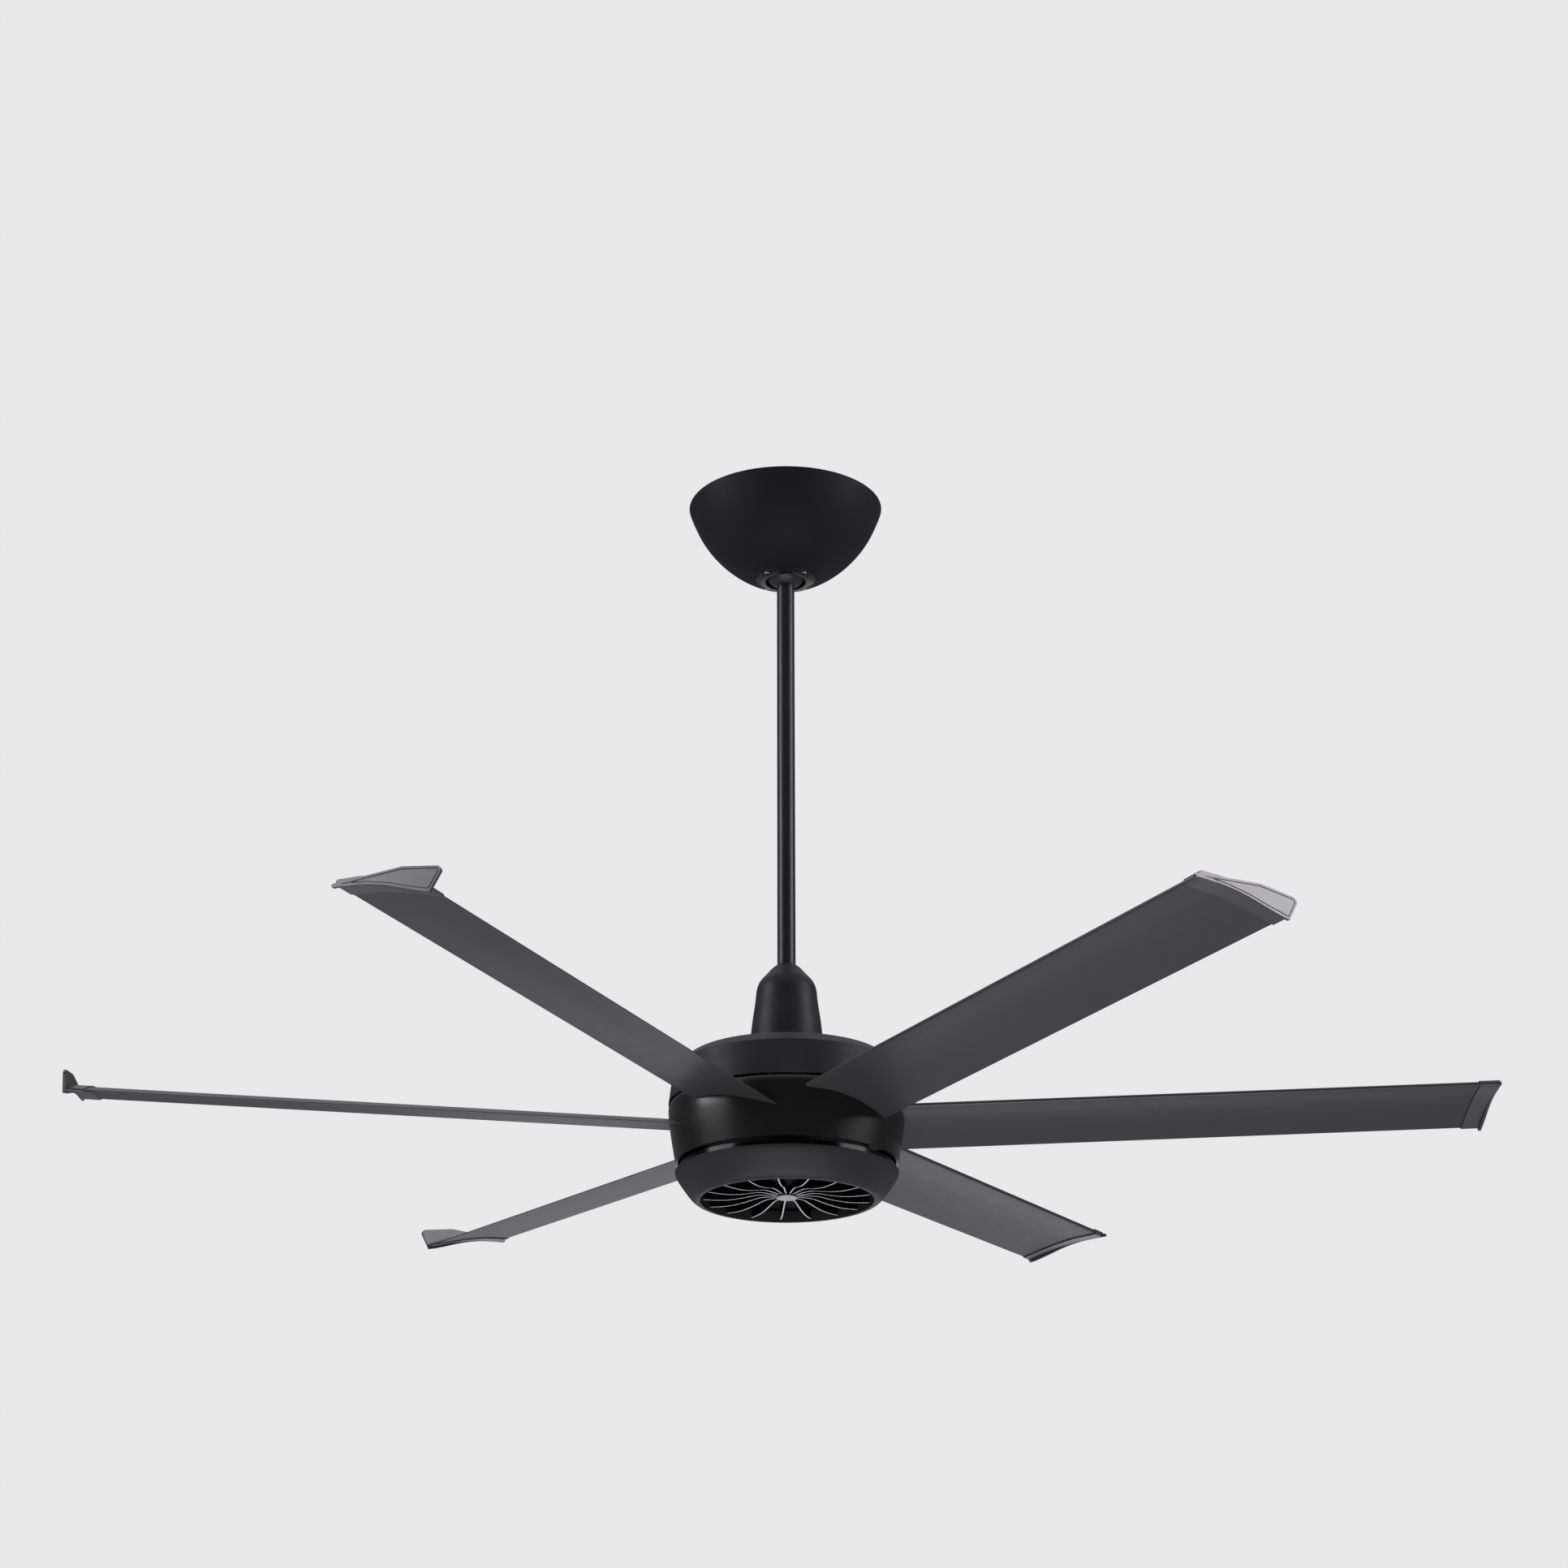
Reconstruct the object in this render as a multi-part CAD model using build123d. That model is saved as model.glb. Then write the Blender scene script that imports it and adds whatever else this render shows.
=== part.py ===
from build123d import *
import math
import os

# Layout
# Lengths are millimetres. The ceiling plane is at height 0 and everything hangs below it.
# Hub pieces are drawn with their heights measured from the blade plane and lifted when saved.
blade_count = 6
first_blade_angle = 2.3
tip_radius = 762.0
dihedral_angle = 2.75
pitch_angle = 12.1

# Fits and clearances
slip_fit = 0.05
slot_gap = 0.3
seam_gap = 2.6
ball_gap = 0.3
air_gap = 0.8
cut_margin = 1.0
tool_length = 60.0
match_gap = 0.05

# Downrod
rod_radius = 10.0
rod_wall = 2.0
rod_length = 610.0
rod_top_z = -38.0
rod_foot_rise = 16.2
cover_top = 77.8
rod_foot_height = cover_top + rod_foot_rise
blade_plane_z = rod_top_z - rod_length - rod_foot_height

# Hanger ball and its seat
ball_radius = 26.0
ball_z = -74.0
ball_top = 12.0
ball_bottom = -23.5
liner_thickness = 2.1
liner_top = 5.0
liner_bottom = -12.2
seat_wall = 5.6
liner_outer_radius = ball_radius + ball_gap + liner_thickness
seat_radius = liner_outer_radius + seat_wall
seat_top = 8.0
seat_bottom = -12.6
ear_thickness = 4.0
swivel_pin_radius = 3.0
swivel_block = 6.0
swivel_block_length = 2.8
swivel_block_setback = 0.4
swivel_block_outer = ball_radius - swivel_block_setback
swivel_block_inner = swivel_block_outer - swivel_block_length
groove_clearance = 2.3
groove_floor = swivel_block_inner - groove_clearance
groove_bottom = -11.5
cross_pin_radius = 3.0
cross_pin_setback = 4.0
cross_pin_length = 2 * (ball_radius - cross_pin_setback)
cross_pin_height = 8.0
ball_screw_radius = 2.5
ball_screw_setback = 3.0
ball_screw_length = ball_radius - rod_radius - ball_screw_setback

# Screw heads shared by several pieces
machine_head_radius = 3.6
machine_head_height = 2.4
small_head_radius = 2.8
small_head_height = 1.8
recess_depth_share = 0.6
recess_length_share = 1.2
recess_width_share = 0.28
socket_share = 0.55
screw_end_length = 1.0

# Ceiling bracket
bracket_length = 110.0
bracket_spread = 94.0
bracket_thickness = 3.0
bracket_corner = 6.0
arm_width = 36.0
foot_inner = 30.0
mount_spacing_x = 88.9
mount_spacing_y = 60.0
mount_hole_radius = 3.25
wire_hole_radius = 22.0
seat_screw_x = 10.0
seat_screw_y = (foot_inner + bracket_spread / 2) / 2
seat_screw_radius = 2.0

# Canopy
canopy_thickness = 1.8
canopy_line = [
    (110.8, -0.8),
    (109.2, -5.7),
    (106.4, -12.9),
    (102.3, -22.5),
    (96.0, -34.6),
    (86.0, -49.1),
    (70.9, ball_z + 8.6),
    (50.0, ball_z - 7.2),
    (seat_radius + 0.4, ball_z - 15.3),
]
canopy_floor_thickness = 1.6
canopy_floor_bottom = ball_z + seat_bottom - canopy_floor_thickness
canopy_floor_lap = 2.0
trim_radius = seat_radius
trim_hole_radius = 23.2
trim_groove = 0.3
trim_line = [
    (trim_radius, canopy_floor_bottom - 1.4),
    (trim_radius - 3.0, canopy_floor_bottom - 2.8),
    (trim_radius - 6.5, canopy_floor_bottom - 3.9),
    (trim_hole_radius, canopy_floor_bottom - 4.4),
]
canopy_floor_inner = trim_hole_radius + canopy_floor_lap
canopy_floor_outer = trim_radius + canopy_floor_lap
canopy_screw_setback = 4.5
canopy_screw_circle = seat_radius - canopy_screw_setback
canopy_screw_radius = 1.5
canopy_screw_head_radius = 2.8
canopy_screw_head_height = 1.7
canopy_screw_length = 8.0
canopy_screw_recess_gap = 0.4

# Motor yoke on the foot of the rod
yoke_flange_radius = 34.0
yoke_flange_thickness = 6.0
yoke_wall = 6.0
yoke_radius = rod_radius + yoke_wall
yoke_height = 72.2
yoke_top = cover_top + yoke_height
yoke_bolt_rise = 44.2
yoke_bolt_height = cover_top + yoke_bolt_rise
yoke_bolt_radius = 3.0
yoke_screw_rise = 62.2
yoke_screw_height = cover_top + yoke_screw_rise
yoke_screw_radius = 2.5
hex_head_height = 4.0
hex_head_radius = 5.6
hex_nut_height = 5.0
yoke_bolt_tail = 7.0
yoke_bolt_length = 2 * yoke_radius + hex_nut_height + yoke_bolt_tail
cover_screw_setback = 7.0
cover_screw_circle = yoke_flange_radius - cover_screw_setback
cover_screw_radius = 2.0

# Shroud over the yoke
shroud_thickness = 2.0
shroud_height = 109.2
shroud_top = cover_top + shroud_height
shroud_foot_radius = 41.0
shroud_line = [
    (rod_radius + 4.4, cover_top + 106.4),
    (22.4, cover_top + 97.6),
    (29.3, cover_top + 89.4),
    (32.2, cover_top + 82.2),
    (33.6, cover_top + 71.2),
    (36.2, cover_top + 52.2),
    (38.6, cover_top + 32.2),
    (shroud_foot_radius - 1.0, cover_top + 15.2),
]

# Motor
shaft_radius = 10.0
shaft_bore = 6.0
shaft_rod_gap = 2.0
shaft_top = rod_foot_height - shaft_rod_gap
shaft_collar_radius = 18.0
shaft_collar_lip = 2.0
shaft_thread_radius = 8.0
shaft_shoulder = -38.0
shaft_bottom = -56.0
shaft_nut_radius = 13.0
shaft_nut_height = 7.0
core_radius = 75.8
core_bottom = -8.0
core_top = 12.0
core_yoke_radius = 40.0
core_hole_radius = 5.0
core_hole_count = 6
tooth_count = 18
tooth_width = 7.0
tooth_tip = 2.8
tooth_slot = 3.0
coil_yoke_gap = 5.0
coil_tip_gap = 3.0
coil_inner = core_yoke_radius + coil_yoke_gap
coil_outer = core_radius - tooth_tip - coil_tip_gap
coil_width = 13.4
coil_overhang = 5.0
coil_round = 4.0
magnet_count = 24
magnet_thickness = 3.4
magnet_angle = 13.5
magnet_bottom = -12.0
magnet_top = 16.0
iron_thickness = 4.0
iron_overlap = 2.0
drum_wall = 4.0
magnet_outer_radius = core_radius + air_gap + magnet_thickness
drum_inner_radius = magnet_outer_radius + iron_thickness
drum_outer_radius = drum_inner_radius + drum_wall
frame_disc_thickness = 4.0
ear_width = 14.0
frame_overlap = 1.0
end_plate_top = -20.0
end_plate_screw_circle = (drum_inner_radius + drum_outer_radius) / 2
end_plate_screw_radius = 1.25
end_plate_screw_length = 11.0
end_plate_screw_end_gap = 0.5
end_plate_thickness = 4.0
end_plate_head_radius = 2.3
end_plate_head_height = 1.6

# Bearings
bearing_width = 12.0
bearing_outer_radius = 21.0
bearing_upper_z = 30.2
bearing_lower_z = -28.5
race_thickness = 3.1
bearing_ball_radius = 3.3
bearing_ball_count = 9
race_gap = 0.05
cage_thickness = 1.0
cage_height = 9.0
housing_radius = 25.5

# Turning hub shell around the blade roots
blade_pocket = 38.0
hub_radius = drum_outer_radius + blade_pocket
cover_bottom = 29.0
shell_top = cover_bottom - seam_gap
shell_thickness = 2.6
shell_line = [
    (hub_radius, shell_top),
    (hub_radius + 0.9, 22.5),
    (hub_radius + 0.7, 17.0),
    (hub_radius - 0.1, 8.0),
    (hub_radius - 1.4, -2.0),
    (hub_radius - 2.8, -11.0),
    (hub_radius - 4.3, -20.0),
    (hub_radius - 5.7, -28.0),
    (hub_radius - 7.1, -36.2),
]
shell_flange_width = 14.0
shell_flange_inner = hub_radius - shell_flange_width
shell_flange_setback = 0.5
shell_flange_thickness = 3.0
shell_screw_setback = 9.5
shell_screw_circle = hub_radius - shell_screw_setback
shell_screw_radius = 2.0
shell_head_radius = 3.4
shell_head_height = 1.1
ear_end_width = 3.5
ear_reach = shell_screw_circle + ear_end_width

# Upper cover
cover_thickness = 2.2
cover_line = [
    (hub_radius - 17.6, cover_top),
    (hub_radius - 4.4, cover_top - 10.9),
    (hub_radius - 1.3, 47.6),
    (hub_radius + 1.0, cover_bottom),
]
cover_hole_radius = 18.0
cover_edge_round = 0.8
boss_radius = 5.0
boss_height = 7.0

# Blades
chord_upper = [
    (-49.3, 2.25),
    (-42.0, 3.4),
    (-32.0, 5.2),
    (-18.0, 6.8),
    (-5.0, 7.1),
    (10.0, 6.3),
    (28.0, 4.1),
    (50.0, 0.5),
]
chord_lower = [
    (50.0, -0.5),
    (28.0, 0.9),
    (10.0, 1.75),
    (-5.0, 1.8),
    (-18.0, 1.3),
    (-32.0, -0.2),
    (-42.0, -1.6),
    (-49.3, -2.25),
]
nose_length = 2.2
nose_reach = chord_upper[0][0] - nose_length
tail_round = 0.3
blade_wall = 1.3
blade_hollows = [(-43.0, -19.5), (-17.5, 3.5), (5.5, 19.0)]
root_gap = 4.0
root_distance = drum_outer_radius + root_gap
blade_end_gap = 0.2

# Blade clamps
pad_half_width = 38.0
pad_split = 2.0
pad_bottom = -7.0
pad_length = 20.0
pad_reach = root_distance + pad_length
clamp_top = 9.5
clamp_gap = 1.0
clamp_length = 18.0
clamp_reach = root_distance + clamp_length
blade_screw_setback = 9.0
blade_screw_distance = root_distance + blade_screw_setback
blade_screw_places = [-26.0, 0.0, 26.0]
blade_screw_radius = 2.0

# Winglets
fin_thickness = 3.0
sleeve_length = 19.0
sleeve_thickness = 1.2
plug_length = 12.0
fin_line = [
    (-55.3, -5.0),
    (-57.6, -1.9),
    (16.0, 17.9),
    (54.3, 20.1),
    (58.6, 16.6),
    (51.5, -4.2),
]
fin_under = [
    (51.5, -4.2),
    (27.0, -2.7),
    (8.0, -0.7),
    (-19.0, -0.2),
    (-37.0, -1.9),
    (-55.3, -5.0),
]
panel_line = [
    (-47.0, -1.2),
    (15.6, 15.7),
    (53.6, 18.0),
    (56.3, 16.1),
    (50.2, -1.9),
    (27.0, -0.6),
    (8.0, 1.4),
    (-19.0, 1.9),
]
groove_width = 0.9
groove_depth = 0.6
fin_nose_round = 1.5
fin_corner_round = 3.0
panel_round = 2.4

# Support plate under the motor
plate_top = -41.6
plate_thickness = 4.0
plate_bottom = plate_top - plate_thickness
plate_boss_radius = 20.0
plate_window_count = 6
plate_window_inner = 62.0
plate_window_angle = 26.0
board_boss_radius = 3.5
board_boss_length = 4.8
board_screw_circle = 54.0
board_screw_radius = 1.5
board_screw_cover = 1.0

# Glossy ring between hub and bowl
ring_setback = 10.8
ring_radius = hub_radius - ring_setback
ring_wall = 3.4
ring_flange_width = 11.2
ring_flange_inner = ring_radius - ring_flange_width
ring_flange_thickness = 2.0
plate_radius = ring_radius - ring_wall - slot_gap
plate_rim_width = 15.5
plate_window_outer = plate_radius - plate_rim_width

# Lower bowl
bowl_thickness = 2.2
bowl_line = [
    (hub_radius - 6.7, plate_bottom),
    (hub_radius - 7.3, plate_bottom - 2.4),
    (hub_radius - 8.8, plate_bottom - 5.4),
    (hub_radius - 11.4, plate_bottom - 9.6),
    (hub_radius - 14.4, plate_bottom - 13.9),
    (hub_radius - 17.6, plate_bottom - 18.4),
    (hub_radius - 20.9, plate_bottom - 22.8),
    (hub_radius - 24.4, plate_bottom - 26.6),
    (hub_radius - 28.0, plate_bottom - 29.2),
    (hub_radius - 31.2, plate_bottom - 30.1),
]
bowl_lip_width = 2.4
bowl_opening = bowl_line[-1][0] - bowl_lip_width
bowl_lip_depth = 16.4
bowl_lip_top = plate_bottom - bowl_lip_depth
bowl_screw_setback = 4.0
bowl_screw_circle = plate_radius - bowl_screw_setback
bowl_flange_setback = 0.6
bowl_flange_lap = 6.5
bowl_flange_inner = bowl_screw_circle - bowl_flange_lap
bowl_screw_radius = 2.0
backing_lap = 9.1
backing_radius = bowl_opening + backing_lap
backing_thickness = 1.5
backing_screw_setback = 3.5
backing_screw_circle = backing_radius - backing_screw_setback
backing_screw_radius = 1.5
backing_screw_bite = 6.0
backing_screw_end_gap = 0.5
backing_boss_radius = 3.4
backing_boss_length = 8.0

# Driver board
board_inner = 26.0
board_outer = 80.0
board_thickness = 1.6
board_top = plate_bottom - board_boss_length
board_bottom = board_top - board_thickness
board_chips = [
    (62.0, 0.0, 18.0, 30.0, 6.1),
    (-62.0, 0.0, 16.0, 24.0, 5.1),
    (40.0, 0.0, 14.0, 14.0, 2.9),
]
capacitor_circle = 64.0
capacitor_radius = 5.0
capacitor_height = 7.0
capacitor_angles = [70, 90, 110, 250, 270, 290]
solder_depth = 0.2

# Grille
grille_gap = 0.3
grille_ring_width = 6.1
grille_ring_inner = bowl_opening - grille_gap - grille_ring_width
grille_ring_thickness = 1.8
rib_count = 17
rib_thickness = 1.4
rib_first_angle = 94.5
rib_end_gap = 3.5
rib_end = bowl_opening - grille_gap - rib_end_gap
grille_centre_radius = 10.4
grille_depth = 9.6
grille_centre_bottom = bowl_lip_top - grille_depth
rib_line = [
    (8.0, bowl_lip_top - 8.2),
    (18.0, bowl_lip_top - 7.8),
    (30.0, bowl_lip_top - 7.2),
    (42.0, bowl_lip_top - 9.2),
    (53.0, bowl_lip_top - 11.2),
    (65.0, bowl_lip_top - 12.5),
    (76.0, bowl_lip_top - 12.5),
    (rib_end, bowl_lip_top - 11.8),
]
button_overhang = 0.8
button_radius = grille_centre_radius + button_overhang
button_thickness = 1.4
button_round = 0.84
stud_radius = 3.0
stud_overlap = 0.2
grille_nut_radius = 5.5
grille_nut_height = 4.0
stud_tail = 1.5
stud_top = bowl_lip_top + backing_thickness + grille_nut_height + stud_tail


def inset(points, distance):
    """Open line of points moved sideways by a distance, to the left of its direction."""
    moved = []
    for index, point in enumerate(points):
        before = points[max(index - 1, 0)]
        after = points[min(index + 1, len(points) - 1)]
        normals = []
        for start, end in ((before, point), (point, after)):
            length = math.hypot(end[0] - start[0], end[1] - start[1])
            if length > 0:
                normals.append((-(end[1] - start[1]) / length, (end[0] - start[0]) / length))
        sum_x = sum(normal[0] for normal in normals)
        sum_y = sum(normal[1] for normal in normals)
        scale = 2 * distance / (sum_x ** 2 + sum_y ** 2) if len(normals) == 2 else distance
        moved.append((point[0] + sum_x * scale, point[1] + sum_y * scale))
    return moved


def turned(edges):
    """Body of revolution about the upright axis from a closed outline of edges."""
    return revolve(Plane.XZ * Face(Wire(edges)), Axis.Z)


def turned_polygon(points):
    return turned(Polyline(*points, close=True).edges())


def turned_shell(line, thickness):
    """Thin wall that follows a smooth line, with its thickness on the left side of the line."""
    inner = inset(line, thickness)
    return turned([
        Spline(*line),
        Line(line[-1], inner[-1]),
        Spline(*reversed(inner)),
        Line(inner[0], line[0]),
    ])


def tube(outer, inner, bottom, top):
    ring = Cylinder(outer, top - bottom) - Cylinder(inner, top - bottom)
    return Pos(0, 0, (bottom + top) / 2) * ring


def rod(radius, bottom, top):
    return Pos(0, 0, (bottom + top) / 2) * Cylinder(radius, top - bottom)


def around(shape, count, first=0.0):
    """Copies of a shape evenly spaced around the upright axis."""
    return [Rot(0, 0, first + 360 * index / count) * shape for index in range(count)]


def cut_all(shape, tools):
    for tool in tools:
        shape = shape - tool
    return shape


def add_all(shape, extras):
    for extra in extras:
        shape = shape + extra
    return shape


def pan_screw(shank_radius, head_radius, head_height, length):
    """Screw with its head above height 0, its shank below and a cross recess in the head."""
    screw = rod(shank_radius, -length, 0) + rod(head_radius, 0, head_height)
    recess_depth = head_height * recess_depth_share
    recess = Box(head_radius * recess_length_share, head_radius * recess_width_share, recess_depth)
    recess = recess + Rot(0, 0, 90) * recess
    return screw - Pos(0, 0, head_height - recess_depth / 2) * recess


def socket_screw(shank_radius, length):
    """Headless screw lying along X from 0 outwards, with a hexagon socket in its outer end."""
    socket = Plane.YZ * RegularPolygon(shank_radius * socket_share, 6)
    screw = Pos(length / 2, 0, 0) * Rot(0, 90, 0) * Cylinder(shank_radius, length)
    return screw - extrude(Pos(length - shank_radius, 0, 0) * socket, amount=shank_radius)


def hexagon(radius, bottom, top):
    return extrude(Pos(0, 0, bottom) * RegularPolygon(radius, 6), amount=top - bottom)


# Ceiling pieces
def ceiling_bracket():
    plate = Pos(0, 0, -bracket_thickness / 2) * Box(bracket_length, bracket_spread, bracket_thickness)
    plate = fillet(plate.edges().filter_by(Axis.Z), bracket_corner)
    foot_bottom = ball_z + seat_top
    arm_height = -foot_bottom
    arm = Pos(0, bracket_spread / 2 - bracket_thickness / 2, -arm_height / 2)
    arm = arm * Box(arm_width, bracket_thickness, arm_height)
    foot_depth = bracket_spread / 2 - foot_inner
    foot = Pos(0, foot_inner + foot_depth / 2, foot_bottom + bracket_thickness / 2)
    foot = foot * Box(arm_width, foot_depth, bracket_thickness)
    bracket = plate + arm + foot
    bracket = bracket + mirror(arm, Plane.XZ) + mirror(foot, Plane.XZ)
    mount_holes = GridLocations(mount_spacing_x, mount_spacing_y, 2, 2)
    bracket = bracket - mount_holes * Cylinder(mount_hole_radius, 4 * bracket_thickness)
    bracket = bracket - Cylinder(wire_hole_radius, 4 * bracket_thickness)
    foot_holes = GridLocations(2 * seat_screw_x, 2 * seat_screw_y, 2, 2)
    hole_top = foot_bottom + bracket_thickness + cut_margin
    hole = rod(seat_screw_radius + slip_fit, foot_bottom - cut_margin, hole_top)
    return bracket - foot_holes * hole


def ball_seat():
    inner_radius = liner_outer_radius + slip_fit
    bottom_z = ball_z + seat_bottom
    top_z = ball_z + seat_top
    seat = rod(seat_radius, bottom_z, top_z)
    ears = Pos(0, 0, top_z - ear_thickness / 2) * Box(arm_width, bracket_spread, ear_thickness)
    seat = seat + ears
    seat = seat - Pos(0, 0, ball_z) * Sphere(inner_radius)
    seat = seat - rod(inner_radius, ball_z, top_z + cut_margin)
    pin_hole = Pos(0, 0, ball_z) * Rot(0, 90, 0)
    seat = seat - pin_hole * Cylinder(swivel_pin_radius + slip_fit, 4 * seat_radius)
    screw_holes = PolarLocations(canopy_screw_circle, 4, start_angle=45)
    depth = canopy_screw_length - canopy_floor_thickness - trim_web()
    hole = rod(canopy_screw_radius + slip_fit, bottom_z - cut_margin, bottom_z + depth + slip_fit)
    seat = seat - screw_holes * hole
    ear_holes = GridLocations(2 * seat_screw_x, 2 * seat_screw_y, 2, 2)
    ear_bottom = top_z - ear_thickness
    ear_hole = rod(seat_screw_radius + slip_fit, ear_bottom - cut_margin, top_z + cut_margin)
    return seat - ear_holes * ear_hole


def seat_screws():
    length = bracket_thickness + ear_thickness + screw_end_length
    screw = pan_screw(seat_screw_radius, machine_head_radius, machine_head_height, length)
    seated = Pos(0, 0, ball_z + seat_top + bracket_thickness) * screw
    return [place * seated for place in GridLocations(2 * seat_screw_x, 2 * seat_screw_y, 2, 2)]


def seat_liner():
    liner = Sphere(liner_outer_radius) - Sphere(ball_radius + ball_gap)
    keep = rod(2 * ball_radius, liner_bottom, liner_top)
    liner = liner & keep
    hole = Rot(0, 90, 0) * Cylinder(swivel_pin_radius + ball_gap, 4 * ball_radius)
    return Pos(0, 0, ball_z) * (liner - hole)


def swivel_pins():
    block_length = swivel_block_outer - swivel_block_inner
    block = Pos((swivel_block_outer + swivel_block_inner) / 2, 0, 0)
    block = block * Box(block_length, swivel_block, swivel_block)
    shank_length = seat_radius - swivel_block_outer
    shank = Pos(swivel_block_outer + shank_length / 2, 0, 0) * Rot(0, 90, 0)
    pin = Pos(0, 0, ball_z) * (block + shank * Cylinder(swivel_pin_radius, shank_length))
    return around(pin, 2)


def trim_web():
    """Thickness of trim ring left under a canopy screw head."""
    return canopy_floor_bottom - (trim_line[1][1] + canopy_screw_head_height)


def canopy():
    shell = turned_shell(canopy_line, -canopy_thickness)
    bottom = canopy_floor_bottom
    top = bottom + canopy_floor_thickness
    floor = tube(canopy_floor_outer, canopy_floor_inner, bottom, top)
    shell = shell + floor - rod(trim_radius + trim_groove, bottom - tool_length, bottom)
    holes = PolarLocations(canopy_screw_circle, 4, start_angle=45)
    return shell - holes * rod(canopy_screw_radius + 2 * slip_fit, bottom - cut_margin, top + cut_margin)


def canopy_trim_ring():
    top = canopy_floor_bottom
    ring = turned([
        Spline(*trim_line),
        Line(trim_line[-1], (trim_hole_radius, top)),
        Line((trim_hole_radius, top), (trim_radius, top)),
        Line((trim_radius, top), trim_line[0]),
    ])
    holes = PolarLocations(canopy_screw_circle, 4, start_angle=45)
    hole = rod(canopy_screw_radius + 2 * slip_fit, top - tool_length, top + cut_margin)
    ring = ring - holes * hole
    recess_top = top - trim_web()
    recess_radius = canopy_screw_head_radius + canopy_screw_recess_gap
    recess = rod(recess_radius, recess_top - tool_length, recess_top)
    return ring - holes * recess


def canopy_screws():
    head_radius = canopy_screw_head_radius
    screw = pan_screw(canopy_screw_radius, head_radius, canopy_screw_head_height, canopy_screw_length)
    place = Pos(canopy_screw_circle, 0, canopy_floor_bottom - trim_web()) * Rot(180, 0, 0)
    return around(place * screw, 4, 45)


# Hanging pieces near the ceiling
def hanger_ball():
    ball = Sphere(ball_radius) & rod(ball_radius, ball_bottom, ball_top)
    ball = ball - rod(rod_radius + slip_fit, ball_bottom - cut_margin, ball_top + cut_margin)
    groove_height = ball_top - groove_bottom + cut_margin
    groove_depth = ball_radius - groove_floor + cut_margin
    groove = Pos(groove_floor + groove_depth / 2, 0, groove_bottom + groove_height / 2)
    groove = groove * Box(groove_depth, swivel_block + 2 * ball_gap, groove_height)
    ball = cut_all(ball, around(groove, 2))
    pin_hole = Pos(0, 0, cross_pin_height) * Rot(90, 0, 0)
    ball = ball - pin_hole * Cylinder(cross_pin_radius + slip_fit, 3 * ball_radius)
    screw_hole = Rot(0, 0, 45) * Pos(ball_radius, 0, cross_pin_height) * Rot(0, 90, 0)
    hole_length = 2 * (ball_radius - rod_radius) + cut_margin
    ball = ball - screw_hole * Cylinder(ball_screw_radius + slip_fit, hole_length)
    return Pos(0, 0, ball_z) * ball


def ball_cross_pin():
    pin = Rot(90, 0, 0) * Cylinder(cross_pin_radius, cross_pin_length)
    return Pos(0, 0, ball_z + cross_pin_height) * pin


def ball_set_screw():
    screw = socket_screw(ball_screw_radius, ball_screw_length)
    return Rot(0, 0, 45) * Pos(rod_radius, 0, ball_z + cross_pin_height) * screw


def downrod():
    body = tube(rod_radius, rod_radius - rod_wall, rod_top_z - rod_length, rod_top_z)
    ball_hole = Pos(0, 0, ball_z + cross_pin_height) * Rot(90, 0, 0)
    body = body - ball_hole * Cylinder(cross_pin_radius + slip_fit, 4 * rod_radius)
    yoke_hole = Pos(0, 0, blade_plane_z + yoke_bolt_height) * Rot(0, 90, 0)
    return body - yoke_hole * Cylinder(yoke_bolt_radius + slip_fit, 4 * rod_radius)


# Coupling between rod and motor
def motor_yoke():
    flange_top = cover_top + yoke_flange_thickness
    yoke = rod(yoke_flange_radius, cover_top, flange_top) + rod(yoke_radius, cover_top, yoke_top)
    yoke = yoke - rod(rod_radius + slip_fit, rod_foot_height, yoke_top + cut_margin)
    yoke = yoke - rod(shaft_radius + slip_fit, cover_top - cut_margin, shaft_top)
    yoke = yoke - rod(rod_radius - rod_wall, cover_top, yoke_top)
    bolt_hole = Pos(0, 0, yoke_bolt_height) * Rot(0, 90, 0)
    yoke = yoke - bolt_hole * Cylinder(yoke_bolt_radius + slip_fit, 3 * yoke_radius)
    screw_hole = Pos(0, 0, yoke_screw_height) * Rot(90, 0, 0)
    yoke = yoke - screw_hole * Cylinder(yoke_screw_radius + slip_fit, 3 * yoke_radius)
    holes = PolarLocations(cover_screw_circle, 4, start_angle=45)
    hole = rod(cover_screw_radius + slip_fit, cover_top - cut_margin, flange_top + cut_margin)
    return yoke - holes * hole


def yoke_bolt():
    shank = rod(yoke_bolt_radius, -yoke_radius, yoke_bolt_length - yoke_radius)
    head = hexagon(hex_head_radius, -yoke_radius - hex_head_height, -yoke_radius)
    return Pos(0, 0, yoke_bolt_height) * Rot(0, 90, 0) * (shank + head)


def yoke_nut():
    nut = hexagon(hex_head_radius, yoke_radius, yoke_radius + hex_nut_height)
    nut = nut - rod(yoke_bolt_radius + slip_fit, 0, tool_length)
    return Pos(0, 0, yoke_bolt_height) * Rot(0, 90, 0) * nut


def yoke_set_screws():
    place = Rot(0, 0, 90) * Pos(rod_radius, 0, yoke_screw_height)
    return around(place * socket_screw(yoke_screw_radius, yoke_wall + screw_end_length), 2)


def shroud():
    line = [(rod_radius + 2 * slot_gap, shroud_top)] + shroud_line + [(shroud_foot_radius, cover_top)]
    shell = turned_shell(line, -shroud_thickness)
    shell = shell - rod(2 * shroud_foot_radius, cover_top - tool_length, cover_top)
    return shell - rod(rod_radius + slot_gap, cover_top, shroud_top + cut_margin)


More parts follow.
